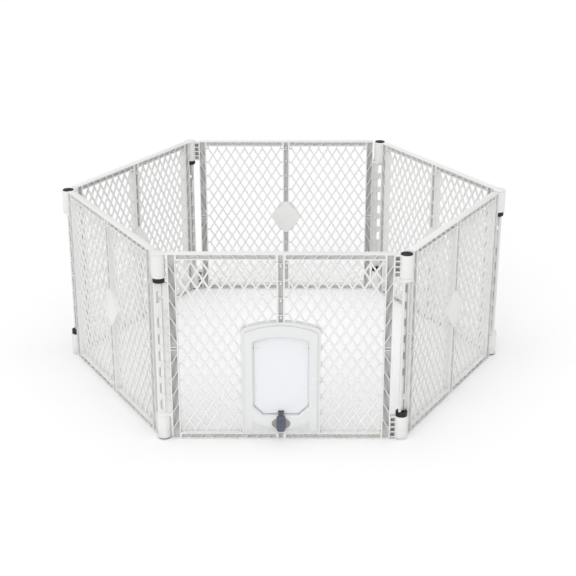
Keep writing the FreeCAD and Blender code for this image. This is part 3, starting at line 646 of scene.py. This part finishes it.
def latch_grip(name, source, facing):
    """Knob as a stack of sections: a flat back, straight sides and two broad sloping flanks up to a narrower face.

    Upright ridges on the face are a cosine of the place across it. The tongue is a closed box with eased corners
    that reaches over the sill towards the flap."""
    low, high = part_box(source)
    middle_x = (low.x + high.x) / 2 / MM
    flap_low, flap_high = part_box("door_flap")
    flap_y = (flap_low.y + flap_high.y) / 2 / MM
    rows = grip_rows()
    face = np.column_stack([np.linspace(-FACE_HALF, FACE_HALF, 41), np.ones(41)])
    flank = np.array(GRIP_FLANK)
    section = np.concatenate([flank, face, flank[::-1] * (-1, 1)])
    wave = RIDGE_DEPTH * (np.cos(section[:, 0] * 2 * np.pi / RIDGE_PITCH) - 1)
    ridges = np.where(np.abs(section[:, 0]) < FACE_HALF + 0.01, wave, 0.0)
    foot = high.z / MM - GRIP_ROWS[-1][0]
    x = middle_x + rows[:, 1:2] * section[:, 0]
    y = flap_y + facing * (GRIP_BACK + rows[:, 2:3] * section[:, 1] + rows[:, 3:] * ridges)
    z = foot + rows[:, :1] * np.ones((1, len(section)))
    grip = capped(np.stack([x, y, z], axis=-1))
    corner = np.linspace(0, 2 * np.pi, 32, endpoint=False)
    level, share = np.array(TONGUE_ROWS)[:, :1], np.array(TONGUE_ROWS)[:, 1:]
    x = middle_x + TONGUE_HALF * share * eased_square(np.cos(corner))
    y = flap_y + facing * (TONGUE_MIDDLE + TONGUE_REACH * share * eased_square(np.sin(corner)))
    z = level * np.ones((1, len(corner)))
    tongue = capped(np.stack([x, y, z], axis=-1))
    return joined(name, [grip * MM, tongue * MM])


def capped(points):
    """Close the first and last rows of a stack of sections at their middles."""
    first = np.repeat(points[:1].mean(axis=1, keepdims=True), points.shape[1], axis=1)
    last = np.repeat(points[-1:].mean(axis=1, keepdims=True), points.shape[1], axis=1)
    return np.concatenate([first, points, last])


# ---- pieces -------------------------------------------------------------------------------------------
for panel in PANELS:
    wall = WALL[panel]
    softened(panel + "_moulding", panel, PANEL_ROUND, pen_grey, "pen_plastic", wall, channel_painted_shade(panel))
    for end in (panel + "_pin_end", panel + "_sleeve_end"):
        softened(end + "_moulding", end, HINGE_ROUND, pen_grey, "pen_plastic", wall, cutout_painted_shade(panel))
rubber_tips()
for side, facing in (("outer", -1), ("inner", 1)):
    half = "door_surround_" + side
    softened(half + "_moulding", half, SURROUND_ROUND, surround_grey, "pen_plastic", "front_wall", surround_shade_and_oval_grey)
    knob = "latch_knob_" + side
    grip = latch_grip(knob + "_grip", knob, facing)
    add_piece(knob + "_grip", grip, slate, "latch_plastic", "latch", knob)
add_piece("door_flap_sheet", flap_surface(), vinyl, "flap_sheet", "flap", "door_flap")
add_piece("flap_pivot_knuckles", pivot_knuckles(), vinyl, "flap_sheet", "flap")
softened("latch_carrier_block", "latch_carrier", SMALL_ROUND, slate, "latch_plastic", "latch")
softened("latch_screw_plated", "latch_screw", SCREW_ROUND, steel, "steel", "latch")
softened("door_screws_plated", "door_screws", SCREW_ROUND, steel, "steel", "front_wall")
softened("flap_pivot_pins_plated", "flap_pivot_pins", PIN_ROUND, steel, "steel", "flap")


# ---- floor, light and camera --------------------------------------------------------------------------
def studio_floor():
    """Plain pale floor under everything, wide enough to fill every view."""
    points = np.array([[(-40, -40, 0), (40, -40, 0)], [(-40, 40, 0), (40, 40, 0)]], dtype=float)
    mesh = grid_mesh("studio_floor", points, False)
    material, tree, sockets = new_material("floor_white", Roughness=0.9, Specular_IOR_Level=0.1)
    pale = use(tree, TONE, Base=(0.97, 0.97, 0.975, 1), Shade=(0.95, 0.95, 0.955, 1), Cells_per_Metre=0.4,
               Strength=0.4)["Color"]
    tree.links.new(pale, sockets["Base Color"])
    mesh.materials.append(material)
    floor = bpy.data.objects.new("studio_floor", mesh)
    bpy.context.scene.collection.objects.link(floor)
    floor.location.z = -0.0005


def soft_sun(name, tilt, heading, spread, strength):
    """Broad distant light: tilt from straight down, heading round from the front, and spread, in degrees."""
    data = bpy.data.lights.new(name, "SUN")
    data.angle = math.radians(spread)
    data.energy = strength
    lamp = bpy.data.objects.new(name, data)
    lamp.rotation_euler = (math.radians(tilt), 0, math.radians(heading))
    bpy.context.scene.collection.objects.link(lamp)


def white_world(strength):
    """Even white light from all round."""
    world = bpy.data.worlds.new("white_studio")
    world.use_nodes = True
    background = world.node_tree.nodes["Background"]
    background.inputs["Color"].default_value = (1.0, 1.0, 1.0, 1)
    background.inputs["Strength"].default_value = strength
    bpy.context.scene.world = world


def camera():
    """Looks a little down at the door panel from in front, from standing height."""
    data = bpy.data.cameras.new("camera")
    data.sensor_width = 36.0
    data.lens = 80.2
    made = bpy.data.objects.new("camera", data)
    made.location = (0.0343, -4.5334, 2.0505)
    made.rotation_euler = (math.pi / 2 - 0.3744, 0.0, 0.0041)
    bpy.context.scene.collection.objects.link(made)
    bpy.context.scene.camera = made


studio_floor()
white_world(0.62)
soft_sun("overhead", 12, 0, 90, 1.2)
soft_sun("front", 64, -30, 40, 0.45)
camera()
bpy.context.scene.view_settings.view_transform = "Standard"
